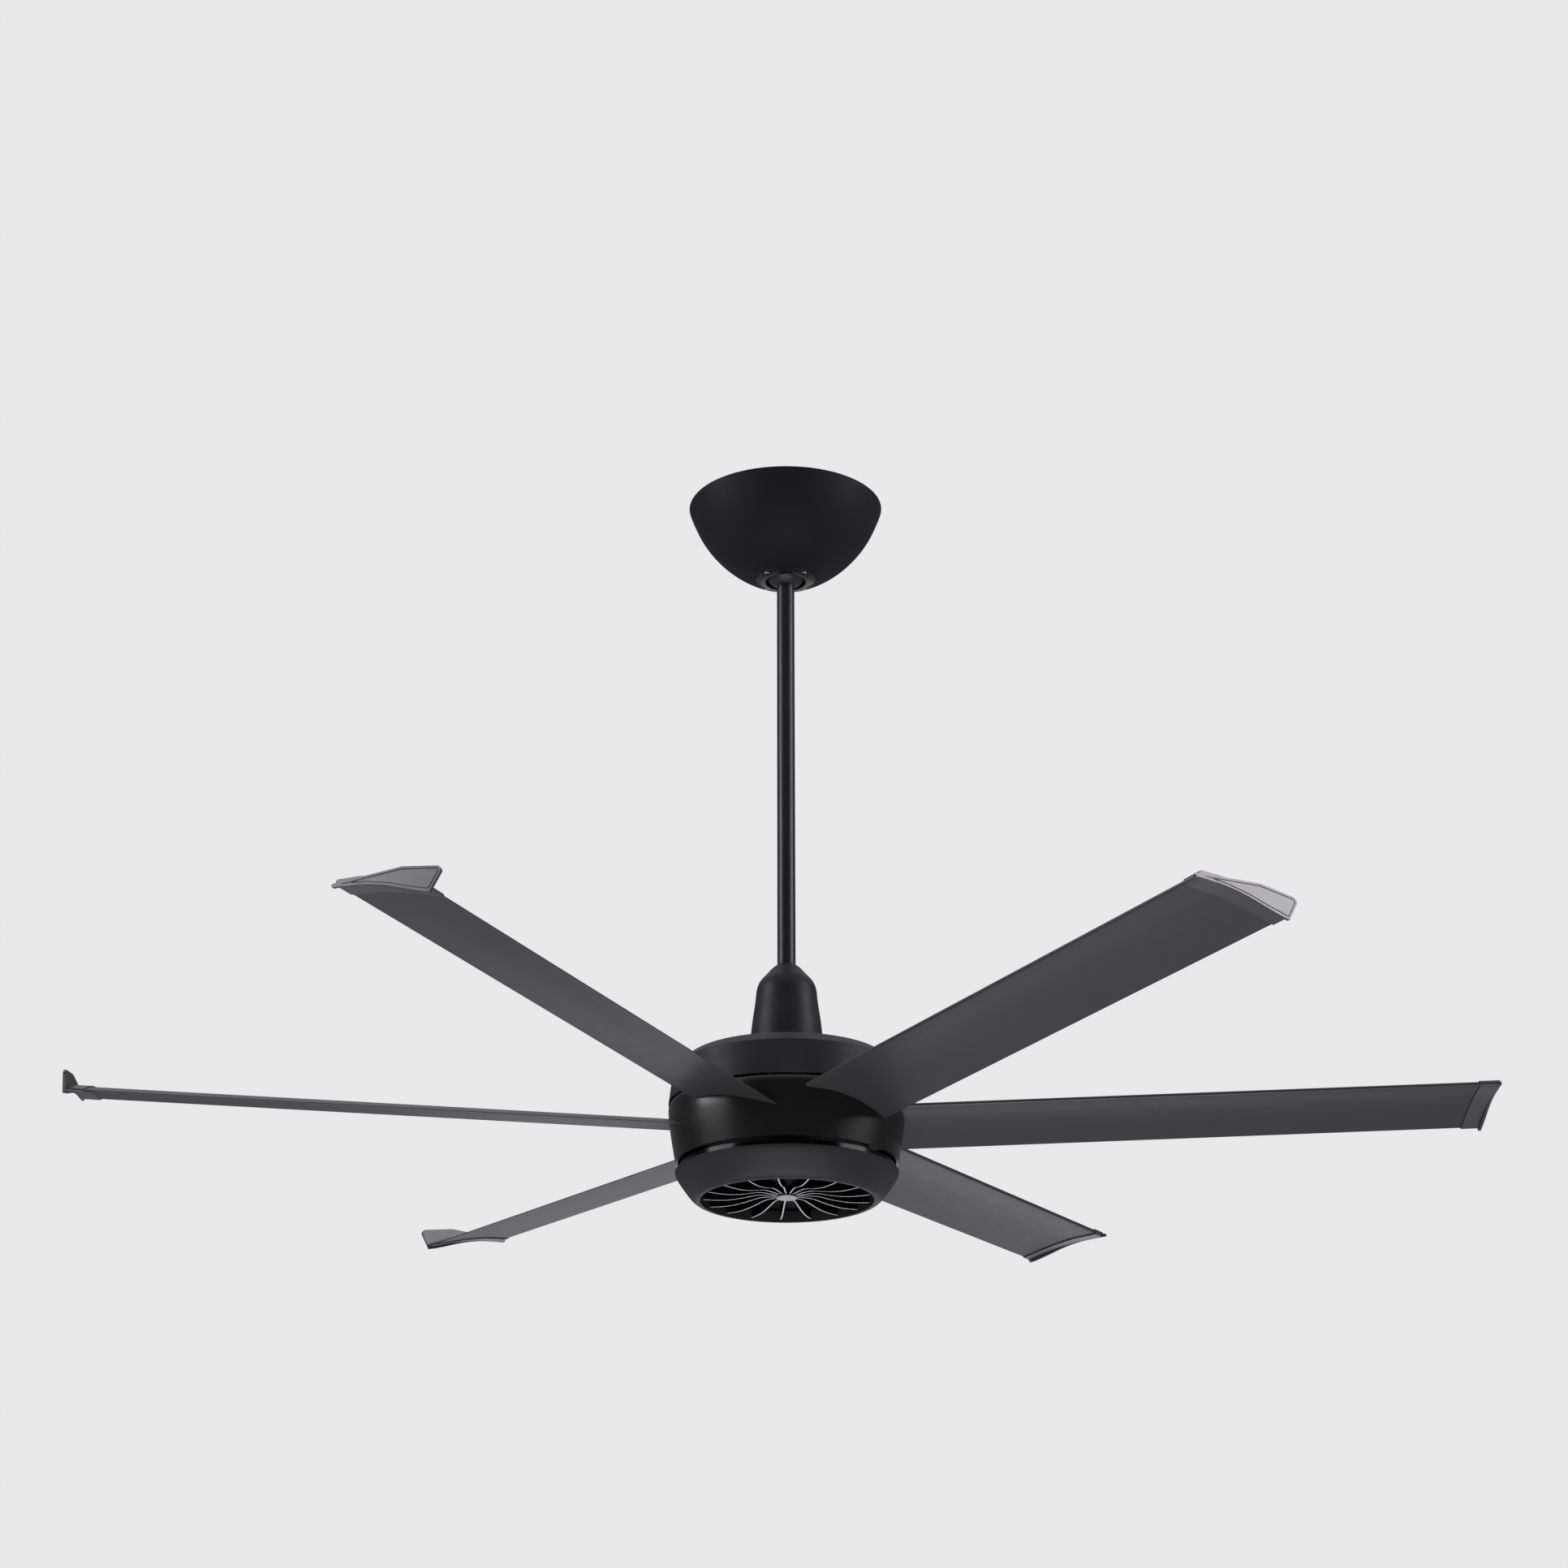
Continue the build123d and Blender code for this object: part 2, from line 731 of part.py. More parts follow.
def upper_cover():
    line = [(cover_hole_radius, cover_top)] + cover_line
    inner = inset(line, -cover_thickness)
    cover = turned_polygon(line + list(reversed(inner)))
    edges = [edge for edge in cover.edges().filter_by(GeomType.CIRCLE) if on_outline(edge, cover_line[:2])]
    cover = fillet(edges, cover_edge_round)
    bosses = PolarLocations(cover_screw_circle, 4, start_angle=45)
    boss_bottom = cover_top - boss_height
    cover = cover + bosses * rod(boss_radius, boss_bottom, cover_top - cover_thickness / 2)
    hole = rod(cover_screw_radius + slip_fit, boss_bottom - cut_margin, cover_top + cut_margin)
    return cover - bosses * hole


def on_outline(edge, points):
    centre = edge.arc_center
    gaps = [math.hypot(edge.radius - radius, centre.Z - height) for radius, height in points]
    return min(gaps) < match_gap


def cover_screws():
    length = yoke_flange_thickness + boss_height
    screw = pan_screw(cover_screw_radius, machine_head_radius, machine_head_height, length)
    return around(Pos(cover_screw_circle, 0, cover_top + yoke_flange_thickness) * screw, 4, 45)


# Motor pieces that stand still
def motor_shaft():
    shaft = rod(shaft_radius, shaft_shoulder, shaft_top)
    shaft = shaft + rod(shaft_thread_radius, shaft_bottom, shaft_shoulder)
    shaft = shaft + rod(shaft_collar_radius, core_bottom - shaft_collar_lip, core_top + shaft_collar_lip)
    return shaft - rod(shaft_bore, shaft_bottom - cut_margin, shaft_top + cut_margin)


def stator_core():
    middle = (core_bottom + core_top) / 2
    height = core_top - core_bottom
    core = tube(core_yoke_radius, shaft_collar_radius + slip_fit, core_bottom, core_top)
    rim = tube(core_radius, core_radius - tooth_tip, core_bottom, core_top)
    gap = Pos(core_radius, 0, middle) * Box(4 * tooth_tip, tooth_slot, height + cut_margin)
    rim = cut_all(rim, around(gap, tooth_count, 180 / tooth_count))
    tooth_length = core_radius - core_yoke_radius
    tooth_middle = core_yoke_radius - cut_margin + tooth_length / 2
    tooth = Pos(tooth_middle, 0, middle) * Box(tooth_length, tooth_width, height)
    core = add_all(core + rim, around(tooth, tooth_count))
    holes = PolarLocations((core_yoke_radius + shaft_collar_radius) / 2, core_hole_count)
    return core - holes * rod(core_hole_radius, core_bottom - cut_margin, core_top + cut_margin)


def stator_windings():
    length = coil_outer - coil_inner
    middle = (core_bottom + core_top) / 2
    height = core_top - core_bottom
    coil = Box(length, coil_width, height + 2 * coil_overhang)
    coil = fillet(coil.edges().filter_by(Axis.X), coil_round)
    coil = coil - Box(length + cut_margin, tooth_width + 4 * slip_fit, height + 4 * slip_fit)
    return around(Pos((coil_inner + coil_outer) / 2, 0, middle) * coil, tooth_count)


def inner_races():
    return [bearing_ring(shaft_radius + slip_fit, shaft_radius + race_thickness, height)
            for height in (bearing_upper_z, bearing_lower_z)]


def outer_races():
    return [bearing_ring(bearing_outer_radius - race_thickness, bearing_outer_radius, height)
            for height in (bearing_upper_z, bearing_lower_z)]


def ball_circle():
    return (shaft_radius + bearing_outer_radius) / 2


def bearing_ring(inner, outer, height):
    ring = tube(outer, inner, -bearing_width / 2, bearing_width / 2)
    track = Face(Wire([Edge.make_circle(bearing_ball_radius + race_gap)]))
    track = revolve(Plane.XZ * (Pos(ball_circle(), 0) * track), Axis.Z)
    return Pos(0, 0, height) * (ring - track)


def bearing_balls():
    ball = Pos(ball_circle(), 0, 0) * Sphere(bearing_ball_radius)
    balls = []
    for height in (bearing_upper_z, bearing_lower_z):
        balls = balls + [Pos(0, 0, height) * piece for piece in around(ball, bearing_ball_count)]
    return balls


def bearing_cages():
    middle = ball_circle()
    cage = tube(middle + cage_thickness, middle - cage_thickness, -cage_height / 2, cage_height / 2)
    pocket = Pos(middle, 0, 0) * Rot(0, 90, 0) * Cylinder(bearing_ball_radius + race_gap, 4 * cage_thickness)
    cage = cut_all(cage, around(pocket, bearing_ball_count))
    return [Pos(0, 0, height) * cage for height in (bearing_upper_z, bearing_lower_z)]


# Turning pieces of the motor
def rotor_frame():
    top = shell_top - shell_flange_thickness
    bottom = top - frame_disc_thickness
    inner = bearing_outer_radius + slip_fit
    frame = tube(drum_outer_radius, inner, bottom, top)
    frame = frame + tube(drum_outer_radius, drum_inner_radius, end_plate_top, top)
    frame = frame + tube(housing_radius, inner, bottom, bearing_upper_z + bearing_width / 2)
    start = drum_inner_radius + frame_overlap
    ear_length = ear_reach - start
    ear = Pos(start + ear_length / 2, 0, (top + bottom) / 2)
    ear = ear * Box(ear_length, ear_width, frame_disc_thickness)
    ears = around(ear, blade_count, first_blade_angle + 180 / blade_count)
    frame = add_all(frame, ears)
    pad = blade_block(pad_bottom, pad_split, start, pad_reach)
    pad = pad - rod(start, -tool_length, tool_length)
    pad = cut_all(pad, blade_screw_holes())
    frame = add_all(frame, around(pad, blade_count, first_blade_angle))
    ear_hole = rod(shell_screw_radius + slip_fit, bottom - cut_margin, top + cut_margin)
    ear_hole = Pos(shell_screw_circle, 0, 0) * ear_hole
    frame = cut_all(frame, around(ear_hole, blade_count, first_blade_angle + 180 / blade_count))
    hole_top = end_plate_top + end_plate_screw_length - end_plate_thickness + end_plate_screw_end_gap
    screw_hole = rod(end_plate_screw_radius + slip_fit, end_plate_top - cut_margin, hole_top)
    screw_hole = Pos(end_plate_screw_circle, 0, 0) * screw_hole
    return cut_all(frame, around(screw_hole, blade_count, first_blade_angle))


def rotor_end_plate():
    inner = bearing_outer_radius + slip_fit
    bottom = end_plate_top - end_plate_thickness
    plate = tube(drum_outer_radius, inner, bottom, end_plate_top)
    plate = plate + tube(housing_radius, inner, bearing_lower_z - bearing_width / 2, end_plate_top)
    screw_hole = rod(end_plate_screw_radius + slip_fit, bottom - cut_margin, end_plate_top + cut_margin)
    screw_hole = Pos(end_plate_screw_circle, 0, 0) * screw_hole
    return cut_all(plate, around(screw_hole, blade_count, first_blade_angle))


def end_plate_screws():
    head_radius = end_plate_head_radius
    screw = pan_screw(end_plate_screw_radius, head_radius, end_plate_head_height, end_plate_screw_length)
    screw = Rot(180, 0, 0) * screw
    place = Pos(end_plate_screw_circle, 0, end_plate_top - end_plate_thickness)
    return around(place * screw, blade_count, first_blade_angle)


def back_iron_ring():
    bottom = magnet_bottom - iron_overlap
    top = magnet_top + iron_overlap
    return tube(drum_inner_radius - slip_fit, magnet_outer_radius, bottom, top)


def rotor_magnets():
    inner = magnet_outer_radius - magnet_thickness
    ring = tube(magnet_outer_radius - slip_fit, inner, magnet_bottom, magnet_top)
    return around(ring & wedge(magnet_angle, 2 * core_radius), magnet_count)


def wedge(angle, reach):
    """Tall sector with its point on the upright axis, for taking a slice of a ring."""
    x = reach * math.cos(math.radians(angle / 2))
    y = reach * math.sin(math.radians(angle / 2))
    corners = [(0, 0), (x, -y), (x, y)]
    return extrude(Pos(0, 0, -tool_length) * Polygon(*corners, align=None), amount=2 * tool_length)


def rotor_shell():
    shell = turned_shell(shell_line, -shell_thickness)
    flange_bottom = shell_top - shell_flange_thickness
    flange = tube(hub_radius - shell_flange_setback, shell_flange_inner, flange_bottom, shell_top)
    shell = shell + flange
    slot = span_block(blade_face(slot_gap), root_distance, 1.5 * root_distance)
    shell = cut_all(shell, around(slot, blade_count, first_blade_angle))
    hole = rod(shell_screw_radius + slip_fit, flange_bottom - cut_margin, shell_top + cut_margin)
    hole = Pos(shell_screw_circle, 0, 0) * hole
    return cut_all(shell, around(hole, blade_count, first_blade_angle + 180 / blade_count))


def shell_screws():
    length = shell_flange_thickness + frame_disc_thickness + screw_end_length
    screw = pan_screw(shell_screw_radius, shell_head_radius, shell_head_height, length)
    place = Pos(shell_screw_circle, 0, shell_top)
    return around(place * screw, blade_count, first_blade_angle + 180 / blade_count)


# Blades
def blade_plane(distance):
    """Plane across a blade at a distance along its span, with X towards the trailing edge."""
    slope = math.radians(dihedral_angle)
    along = (math.cos(slope), 0, math.sin(slope))
    origin = (distance * along[0], 0, distance * along[2])
    return Plane(origin=origin, x_dir=(0, 1, 0), z_dir=along)


def span_block(face, start, end):
    """Section of a blade carried along its span from one distance to another."""
    frame = blade_plane(start)
    section = Face(face.face().outer_wire())
    if section.normal_at().Z < 0:
        section = -section
    return extrude(frame * section, amount=end - start)


def blade_face(grow=0.0):
    upper = inset(chord_upper, grow)
    lower = inset(chord_lower, grow)
    nose = ThreePointArc(lower[-1], (nose_reach - grow, 0), upper[0])
    tail = ThreePointArc(upper[-1], (upper[-1][0] + tail_round + grow, 0), lower[0])
    face = Face(Wire([Spline(*upper), tail, Spline(*lower), nose]))
    return Rot(0, 0, -pitch_angle) * face


def height_at(line, place):
    ordered = sorted(line)
    for start, end in zip(ordered, ordered[1:]):
        if start[0] <= place <= end[0]:
            share = (place - start[0]) / (end[0] - start[0])
            return start[1] + share * (end[1] - start[1])
    return ordered[-1][1]


def hollow_faces():
    faces = []
    for start, end in blade_hollows:
        places = [start + (end - start) * step / 4 for step in range(5)]
        top = [(place, height_at(chord_upper, place) - blade_wall) for place in places]
        bottom = [(place, height_at(chord_lower, place) + blade_wall) for place in reversed(places)]
        face = Face(Wire(Polyline(*top, *bottom, close=True).edges()))
        faces.append(Rot(0, 0, -pitch_angle) * face)
    return faces


def blade_screw_holes():
    hole = Cylinder(blade_screw_radius + slip_fit, tool_length)
    return [blade_screw_place(place) * hole for place in blade_screw_places]


def blade_screw_place(place):
    frame = blade_plane(blade_screw_distance)
    return frame.location * Rot(0, 0, -pitch_angle) * Pos(place, 0, 0) * Rot(-90, 0, 0)


def blade_length():
    return tip_radius / math.cos(math.radians(dihedral_angle))


def airfoil():
    end = blade_length() - fin_thickness - blade_end_gap
    blade = span_block(blade_face(), root_distance, end)
    for face in hollow_faces():
        blade = blade - span_block(face, root_distance - cut_margin, end + cut_margin)
    return cut_all(blade, blade_screw_holes())


def blade_block(low, high, start, end):
    """Block above or below a blade root that keeps the shape of the blade surface."""
    face = Pos(0, (low + high) / 2) * Rectangle(2 * pad_half_width, high - low)
    block = span_block(Rot(0, 0, -pitch_angle) * face, start, end)
    return block - span_block(blade_face(), start - tool_length, end + tool_length)


def blade_clamps():
    clamp = blade_block(pad_split, clamp_top, root_distance + clamp_gap, clamp_reach)
    clamp = cut_all(clamp, blade_screw_holes())
    return around(clamp, blade_count, first_blade_angle)


def blade_screws():
    screw = pan_screw(blade_screw_radius, machine_head_radius, machine_head_height, clamp_top - pad_bottom)
    screws = []
    for place in blade_screw_places:
        seated = blade_screw_place(place) * Pos(0, 0, clamp_top) * screw
        screws = screws + around(seated, blade_count, first_blade_angle)
    return screws


def corners_at(face, points):
    """Corners of a flat face that lie at the given points."""
    found = []
    for corner in face.vertices():
        gaps = [math.hypot(corner.X - x, corner.Y - y) for x, y in points]
        if min(gaps) < match_gap:
            found.append(corner)
    return found


def fin_face():
    top = Polyline(*fin_line)
    under = Spline(*fin_under)
    face = Face(Wire(top.edges() + [under]))
    face = fillet(corners_at(face, fin_line[:2]), fin_nose_round)
    face = fillet(corners_at(face, fin_line[3:5]), fin_corner_round)
    return Rot(0, 0, -pitch_angle) * face


def panel_face(shrink):
    """Outline of the panel on a fin's outer face, closed and moved inwards."""
    wrapped = [panel_line[-1]] + panel_line + [panel_line[0]]
    corners = inset(wrapped, -shrink)[1:-1]
    face = Face(Wire(Polyline(*corners, close=True).edges()))
    face = fillet(corners_at(face, corners[2:4]), panel_round - shrink)
    return Rot(0, 0, -pitch_angle) * face


def winglet():
    end = blade_length()
    sleeve_start = end - fin_thickness - sleeve_length
    fin_start = end - fin_thickness
    cap = span_block(blade_face(sleeve_thickness), sleeve_start, end)
    cap = cap - span_block(blade_face(), sleeve_start - cut_margin, fin_start)
    cap = cap + span_block(fin_face(), fin_start, end)
    for face in hollow_faces()[:2]:
        cap = cap + span_block(face, fin_start - plug_length, end - fin_thickness / 2)
    groove = span_block(panel_face(0), end - groove_depth, end + cut_margin)
    inner = span_block(panel_face(groove_width), end - groove_depth - cut_margin, end + 2 * cut_margin)
    groove = groove - inner
    return cap - groove


# Still pieces under the hub
def support_plate():
    plate = rod(plate_radius, plate_bottom, plate_top) + rod(plate_boss_radius, plate_bottom, shaft_shoulder)
    bore = rod(shaft_thread_radius + slip_fit, plate_bottom - cut_margin, shaft_shoulder + cut_margin)
    plate = plate - bore
    ring = tube(plate_window_outer, plate_window_inner, plate_bottom - cut_margin, plate_top + cut_margin)
    window = wedge(plate_window_angle, 2 * plate_radius) & ring
    plate = cut_all(plate, around(window, plate_window_count))
    bosses = PolarLocations(board_screw_circle, 4, start_angle=45)
    plate = plate + bosses * rod(board_boss_radius, board_top, plate_bottom)
    hole = rod(board_screw_radius + slip_fit, board_top - cut_margin, plate_top - board_screw_cover)
    plate = plate - bosses * hole
    holes = PolarLocations(bowl_screw_circle, 4, start_angle=0)
    hole = rod(bowl_screw_radius + slip_fit, plate_bottom - cut_margin, plate_top + cut_margin)
    return plate - holes * hole


def shaft_nut():
    bottom = plate_bottom - shaft_nut_height
    nut = hexagon(shaft_nut_radius, bottom, plate_bottom)
    return nut - rod(shaft_thread_radius + slip_fit, bottom - cut_margin, plate_bottom + cut_margin)


def gloss_ring():
    top = plate_top + ring_flange_thickness
    ring = tube(ring_radius, ring_radius - ring_wall, plate_bottom, top)
    return ring + tube(ring_radius, ring_flange_inner, plate_top, top)


def lower_bowl():
    shell = turned_shell(bowl_line, -bowl_thickness)
    flange_radius = bowl_line[0][0] - bowl_flange_setback
    flange_bottom = plate_bottom - bowl_thickness
    flange = tube(flange_radius, bowl_flange_inner, flange_bottom, plate_bottom)
    lip = tube(bowl_line[-1][0], bowl_opening, bowl_line[-1][1], bowl_lip_top)
    bowl = shell + flange + lip
    bosses = PolarLocations(backing_screw_circle, 4, start_angle=45)
    bowl = bowl + bosses * rod(backing_boss_radius, bowl_lip_top - backing_boss_length, bowl_lip_top)
    hole_bottom = bowl_lip_top - backing_screw_bite - backing_screw_end_gap
    bowl = bowl - bosses * rod(backing_screw_radius + slip_fit, hole_bottom, bowl_lip_top + cut_margin)
    holes = PolarLocations(bowl_screw_circle, 4, start_angle=0)
    hole = rod(bowl_screw_radius + slip_fit, flange_bottom - cut_margin, plate_bottom + cut_margin)
    return bowl - holes * hole


def bowl_screws():
    length = bowl_thickness + plate_thickness
    screw = pan_screw(bowl_screw_radius, machine_head_radius, machine_head_height, length)
    screw = Rot(180, 0, 0) * screw
    return around(Pos(bowl_screw_circle, 0, plate_bottom - bowl_thickness) * screw, 4)


def driver_board():
    board = tube(board_outer, board_inner, board_bottom, board_top)
    holes = PolarLocations(board_screw_circle, 4, start_angle=45)
    hole = rod(board_screw_radius + slip_fit, board_bottom - cut_margin, board_top + cut_margin)
    board = board - holes * hole
    below = []
    for x, y, width, depth, drop in board_chips:
        height = drop + solder_depth / 2
        below.append(Pos(x, y, board_bottom + solder_depth / 2 - height / 2) * Box(width, depth, height))
    capacitor = rod(capacitor_radius, board_bottom - capacitor_height, board_bottom + solder_depth)
    for angle in capacitor_angles:
        below.append(Rot(0, 0, angle) * Pos(capacitor_circle, 0, 0) * capacitor)
    return add_all(board, below)


def board_screws():
    length = board_thickness + board_boss_length
    screw = Rot(180, 0, 0) * pan_screw(board_screw_radius, small_head_radius, small_head_height, length)
    return around(Pos(board_screw_circle, 0, board_bottom) * screw, 4, 45)


def grille_backing():
    top = bowl_lip_top + backing_thickness
    backing = rod(backing_radius, bowl_lip_top, top)
    backing = backing - rod(stud_radius + slip_fit, bowl_lip_top - cut_margin, top + cut_margin)
    holes = PolarLocations(backing_screw_circle, 4, start_angle=45)
    hole = rod(backing_screw_radius + slip_fit, bowl_lip_top - cut_margin, top + cut_margin)
    return backing - holes * hole


def backing_screws():
    length = backing_thickness + backing_screw_bite
    screw = pan_screw(backing_screw_radius, small_head_radius, small_head_height, length)
    return around(Pos(backing_screw_circle, 0, bowl_lip_top + backing_thickness) * screw, 4, 45)


def grille():
    ring_bottom = bowl_lip_top - grille_ring_thickness
    ring = tube(bowl_opening - grille_gap, grille_ring_inner, ring_bottom, bowl_lip_top)
    centre = rod(grille_centre_radius, grille_centre_bottom, bowl_lip_top)
    outline = [Spline(*rib_line), Line(rib_line[-1], (rib_end, bowl_lip_top))]
    outline.append(Line((rib_end, bowl_lip_top), (rib_line[0][0], bowl_lip_top)))
    outline.append(Line((rib_line[0][0], bowl_lip_top), rib_line[0]))
    rib = extrude(Plane.XZ * Face(Wire(outline)), amount=rib_thickness / 2, both=True)
    body = add_all(ring + centre, around(rib, rib_count, rib_first_angle))
    bore_bottom = grille_centre_bottom - cut_margin
    return body - rod(stud_radius + slip_fit, bore_bottom, bowl_lip_top + cut_margin)


def grille_button():
    bottom = grille_centre_bottom - button_thickness
    button = rod(button_radius, bottom, grille_centre_bottom)
    button = fillet(button.edges().group_by(Axis.Z)[0], button_round)
    return button + rod(stud_radius, grille_centre_bottom - stud_overlap, stud_top)


def grille_nut():
    bottom = bowl_lip_top + backing_thickness
    top = bottom + grille_nut_height
    nut = hexagon(grille_nut_radius, bottom, top)
    return nut - rod(stud_radius + slip_fit, bottom - cut_margin, top + cut_margin)


os.makedirs("parts", exist_ok=True)


def save(name, shape, lift=0.0):
    """Write one piece, or a group of separate solids, in the part's own frame."""
    solids = []
    for item in shape if isinstance(shape, list) else [shape]:
        solids = solids + list((Pos(0, 0, lift) * item).solids())
    body = solids[0] if len(solids) == 1 else Compound(children=solids)
    export_step(body, "parts/" + name + ".step")


ceiling_pieces = {
    "ceiling_bracket": ceiling_bracket,
    "ball_seat": ball_seat,
    "seat_screws": seat_screws,
    "seat_liner": seat_liner,
    "swivel_pins": swivel_pins,
    "canopy": canopy,
    "canopy_trim_ring": canopy_trim_ring,
    "canopy_screws": canopy_screws,
    "hanger_ball": hanger_ball,
    "ball_cross_pin": ball_cross_pin,
    "ball_set_screw": ball_set_screw,
    "downrod": downrod,
}
hub_pieces = {
    "motor_yoke": motor_yoke,
    "yoke_bolt": yoke_bolt,
    "yoke_nut": yoke_nut,
    "yoke_set_screws": yoke_set_screws,
    "shroud": shroud,
    "upper_cover": upper_cover,
    "cover_screws": cover_screws,
    "motor_shaft": motor_shaft,
    "stator_core": stator_core,
    "stator_windings": stator_windings,
    "inner_races": inner_races,
    "outer_races": outer_races,
    "bearing_balls": bearing_balls,
    "bearing_cages": bearing_cages,
    "rotor_frame": rotor_frame,
    "rotor_end_plate": rotor_end_plate,
    "end_plate_screws": end_plate_screws,
    "back_iron_ring": back_iron_ring,
    "rotor_magnets": rotor_magnets,
    "rotor_shell": rotor_shell,
    "shell_screws": shell_screws,
    "blade_clamps": blade_clamps,
    "blade_screws": blade_screws,
    "support_plate": support_plate,
    "shaft_nut": shaft_nut,
    "gloss_ring": gloss_ring,
    "lower_bowl": lower_bowl,
    "bowl_screws": bowl_screws,
    "driver_board": driver_board,
    "board_screws": board_screws,
    "grille_backing": grille_backing,
    "backing_screws": backing_screws,
    "grille": grille,
    "grille_button": grille_button,
    "grille_nut": grille_nut,
}
for piece_name, build_piece in ceiling_pieces.items():
    save(piece_name, build_piece())
for piece_name, build_piece in hub_pieces.items():
    save(piece_name, build_piece(), blade_plane_z)

one_airfoil = airfoil()
one_winglet = winglet()
for index in range(blade_count):
    turn = Rot(0, 0, first_blade_angle + 360 * index / blade_count)
    save("airfoil_" + str(index + 1), turn * one_airfoil, blade_plane_z)
    save("winglet_" + str(index + 1), turn * one_winglet, blade_plane_z)
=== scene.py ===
import math

import bpy
from mathutils import Matrix, Vector

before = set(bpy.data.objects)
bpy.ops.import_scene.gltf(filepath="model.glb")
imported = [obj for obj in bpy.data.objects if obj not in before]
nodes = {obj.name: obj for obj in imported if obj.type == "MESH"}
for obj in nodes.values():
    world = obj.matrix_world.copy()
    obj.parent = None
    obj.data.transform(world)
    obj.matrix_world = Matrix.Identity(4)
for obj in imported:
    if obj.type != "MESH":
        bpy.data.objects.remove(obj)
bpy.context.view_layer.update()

# Camera, in metres, degrees and millimetres of lens, from the fit to the photograph's blade edges
CAMERA_PLACE = Vector((0.0, -3.3122, -1.6659))
CAMERA_PITCH = 21.798
CAMERA_YAW = -0.04
CAMERA_ROLL = -0.121
CAMERA_LENS = 73.37
SENSOR_WIDTH = 36.0
CLIP_START = 0.05
CLIP_END = 50.0

# Backdrop and floor, with linear colours and lengths in metres
BACKDROP = (0.823, 0.807, 0.831, 1.0)
FLOOR_HEIGHT = -6.0
FLOOR_REACH = 30.0
FLOOR_COLOUR = (0.6, 0.6, 0.61, 1.0)

# Brightness of the surroundings: one level on all sides, with a glow towards some axes.
# A glow has its axis, the parts of a direction along it where it starts and is full, and its level.
WORLD_BASE = 0.1
WORLD_GLOW = (("Y", 0.1, 0.9, 0.04), ("Z", 0.3, 1.0, 1.0))
LIGHT_TINT = (1.0, 0.95, 1.03)

# Soft boxes, in metres and watts: two at the sides, one below and one behind
SIDE_BOX_X = 2.9
SIDE_BOX_Y = -0.9
SIDE_BOX_Z = 0.58
SIDE_BOX_SIZE = (1.8, 1.9)
SIDE_BOX_POWER = 104.0
LOW_BOX_PLACE = (0.0, -0.8, -3.0)
LOW_BOX_SIZE = (2.6, 2.0)
LOW_BOX_POWER = 95.0
BACK_BOX_PLACE = (0.3, 6.0, -1.9)
BACK_BOX_SIZE = (3.0, 2.0)
BACK_BOX_POWER = 14.0
HUB_PLACE = (0.0, 0.0, -0.7)

# Grain of paint, plastic and cast metal: blotches of colour, patches of gloss and a fine bump
BLOTCH_SCALE = 14.0
BLOTCH_DETAIL = 3.0
GLOSS_SCALE = 60.0
GLOSS_DETAIL = 5.0
GRAIN_DETAIL = 2.0
GRAIN_STRENGTH = 0.5

# Lines on bare metal
LINE_SCALE = 900.0
LINE_DETAIL = 3.0
LINE_DARK = 0.75
LINE_GLOSS_BELOW = 0.08
LINE_GLOSS_ABOVE = 0.1
LINE_STRENGTH = 0.3
LINE_DEPTH = 0.00002

# Parts of the noise's range that are spread over a ramp of colour and over a span of values
RAMP_START = 0.3
RAMP_END = 0.7
SPAN_START = 0.25
SPAN_END = 0.75

# Painted shade in the winglets' grooves and along their rims: how near counts, in metres, and what is
# left of the colour
GROOVE_SHADE_REACH = 0.004
RIM_SHADE_REACH = 0.0011
PAINTED_SHADE_FLOOR = 0.05

# Grille: its grey only on faces below this height, in metres, whose normal has a Z under this value;
# painted shadow without shine on all other faces
GRILLE_LIP_HEIGHT = -0.808
GRILLE_DOWNWARD = -0.5
GRILLE_PAINTED_SHADOW = (0.002, 0.002, 0.0022)

